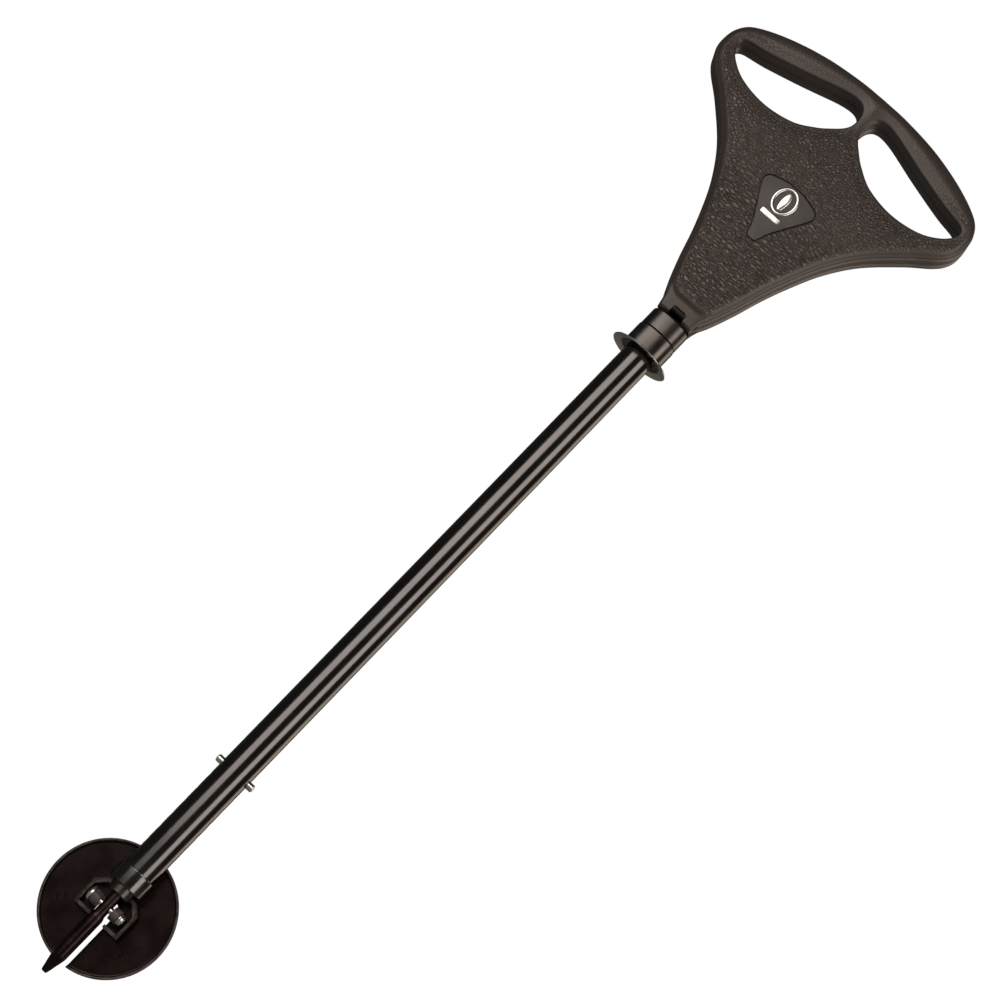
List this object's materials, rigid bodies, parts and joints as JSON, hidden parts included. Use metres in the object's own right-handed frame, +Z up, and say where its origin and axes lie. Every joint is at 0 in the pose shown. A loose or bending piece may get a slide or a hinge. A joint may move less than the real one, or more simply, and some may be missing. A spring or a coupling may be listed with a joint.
{
  "type": "shooting stick",
  "caption": "Folding seat stick: two hinged plastic leaves form a handle or a seat on a push-button telescopic stem with a spike and a fold-out ground plate",
  "frame": {"origin": "the tip of the spike, on the stem's centre line, where the stick meets the ground", "axes": "+Z runs up the stem from the spike to the handle, +X runs across the seat leaves, and -Y is the front, the side with the front leaf; the ground plate is folded up behind the spike"},
  "size_m": [0.2464, 0.0512, 0.901],
  "materials": {
    "leaf_plastic": "leather-grained moulded plastic, dark grey-brown",
    "seat_plastic": "fine satin moulded plastic",
    "badge_plastic": "smooth satin plastic",
    "silver_trim": "bright silver trim",
    "black_tube": "gloss black anodised tube",
    "bright_metal": "bright turned aluminium",
    "steel": "plated steel",
    "dark_casting": "dark satin casting",
    "guard_metal": "dark anodised spun disc",
    "plate_plastic": "very dark brown moulded plastic",
    "nylon": "natural nylon"
  },
  "bodies": {
    "lower_stem": {"inner_tube": "bright_metal", "guide_plug": "nylon", "ferrule_collar": "bright_metal", "spike_plug": "dark_casting", "plug_pin": "steel", "spike": "dark_casting", "pivot_bolt": "steel", "pivot_washer": "steel", "pivot_nut": "steel", "button_spring": "steel"},
    "ground_plate": {"ground_plate": "plate_plastic"},
    "button_right": {"button_right": "steel"},
    "button_left": {"button_left": "steel"},
    "upper_stem": {"outer_tube": "black_tube", "hand_guard": "guard_metal", "head_collar": "dark_casting", "hinge_head": "dark_casting", "head_pin": "steel", "front_hinge_pin": "steel", "rear_hinge_pin": "steel"},
    "front_leaf": {"front_leaf_shell": "leaf_plastic", "front_seat_cover": "seat_plastic", "front_badge": "badge_plastic", "front_badge_ring": "silver_trim", "front_cover_screw_1": "steel", "front_cover_screw_2": "steel", "front_cover_screw_3": "steel", "front_cover_screw_4": "steel"},
    "rear_leaf": {"rear_leaf_shell": "leaf_plastic", "rear_seat_cover": "seat_plastic", "rear_badge": "badge_plastic", "rear_badge_ring": "silver_trim", "rear_cover_screw_1": "steel", "rear_cover_screw_2": "steel", "rear_cover_screw_3": "steel", "rear_cover_screw_4": "steel"}
  },
  "joints": [
    {"name": "stem_slide", "type": "slide", "parent": "lower_stem", "child": "upper_stem", "axis": [0, 0, 1], "range_m": [0, 0.0762]},
    {"name": "front_leaf_hinge", "type": "hinge", "parent": "upper_stem", "child": "front_leaf", "pos_m": [0, -0.007, 0.6645], "axis": [1, 0, 0], "range_deg": [0, 90]},
    {"name": "rear_leaf_hinge", "type": "hinge", "parent": "upper_stem", "child": "rear_leaf", "pos_m": [0, 0.007, 0.6645], "axis": [-1, 0, 0], "range_deg": [0, 90]},
    {"name": "ground_plate_hinge", "type": "hinge", "parent": "lower_stem", "child": "ground_plate", "pos_m": [0, 0, 0.0616], "axis": [1, 0, 0], "range_deg": [-90, 0]},
    {"name": "button_right_press", "type": "slide", "parent": "lower_stem", "child": "button_right", "axis": [-1, 0, 0], "range_m": [0, 0.005], "stiffness_N_per_m": 800, "springref_m": -0.004, "deforming": ["button_spring"]},
    {"name": "button_left_press", "type": "slide", "parent": "lower_stem", "child": "button_left", "axis": [1, 0, 0], "range_m": [0, 0.005], "stiffness_N_per_m": 800, "springref_m": -0.004, "deforming": ["button_spring"]}
  ]
}
